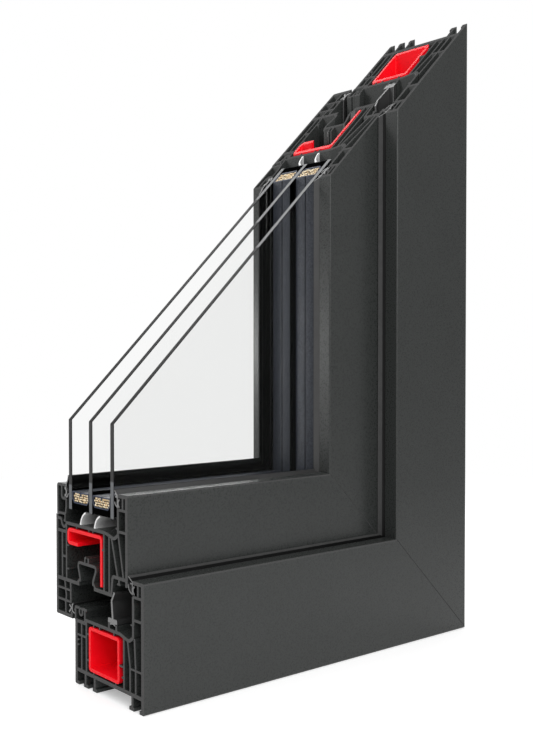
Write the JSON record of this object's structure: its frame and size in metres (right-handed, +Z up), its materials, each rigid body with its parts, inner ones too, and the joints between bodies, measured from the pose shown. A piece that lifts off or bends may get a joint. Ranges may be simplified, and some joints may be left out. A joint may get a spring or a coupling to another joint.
{
  "type": "cut-away corner sample of a plastic window",
  "caption": "Cut-away corner of a triple-glazed plastic window: hollow frame and sash profiles with steel inside, mitred, with glass, spacers, bead and gaskets.",
  "frame": {"origin": "middle of the footprint, at the level of the frame's feet", "axes": "+X along the bottom rail from the square cut towards the outer corner, +Y from outdoors into the room, +Z up the jamb"},
  "size_m": [0.281, 0.1006, 0.4435],
  "materials": {
    "profile": "dark grey plastic, fine grain on the faces, plain sawn plastic on the cuts",
    "steel": "bright red paint on galvanised steel, semi-gloss",
    "gasket": "dark grey gasket rubber, slightly lighter where it is cut",
    "fin": "dark grey soft plastic with a pale cut edge",
    "glass": "clear float glass",
    "spacer": "blue-grey plastic, satin",
    "desiccant": "cream drying beads",
    "sealant": "black edge sealant"
  },
  "bodies": {
    "root": {"bead_gasket_jamb": "gasket", "bead_gasket_rail": "gasket", "bead_jamb": "profile", "bead_rail": "profile", "centre_gasket_jamb": "gasket", "centre_gasket_rail": "gasket", "frame_gasket_jamb": "gasket", "frame_gasket_rail": "gasket", "frame_jamb": "profile", "frame_rail": "profile", "frame_steel_jamb": "steel", "frame_steel_rail": "steel", "glass_gasket_jamb": "gasket", "glass_gasket_rail": "gasket", "inner_desiccant_jamb": "desiccant", "inner_desiccant_rail": "desiccant", "inner_fin_jamb": "fin", "inner_fin_rail": "fin", "inner_pane": "glass", "inner_sealant_jamb": "sealant", "inner_sealant_rail": "sealant", "inner_spacer_jamb": "spacer", "inner_spacer_rail": "spacer", "middle_pane": "glass", "outer_desiccant_jamb": "desiccant", "outer_desiccant_rail": "desiccant", "outer_fin_jamb": "fin", "outer_fin_rail": "fin", "outer_pane": "glass", "outer_sealant_jamb": "sealant", "outer_sealant_rail": "sealant", "outer_spacer_jamb": "spacer", "outer_spacer_rail": "spacer", "overlap_gasket_jamb": "gasket", "overlap_gasket_rail": "gasket", "sash_jamb": "profile", "sash_rail": "profile", "sash_steel_jamb": "steel", "sash_steel_rail": "steel"}
  },
  "joints": []
}
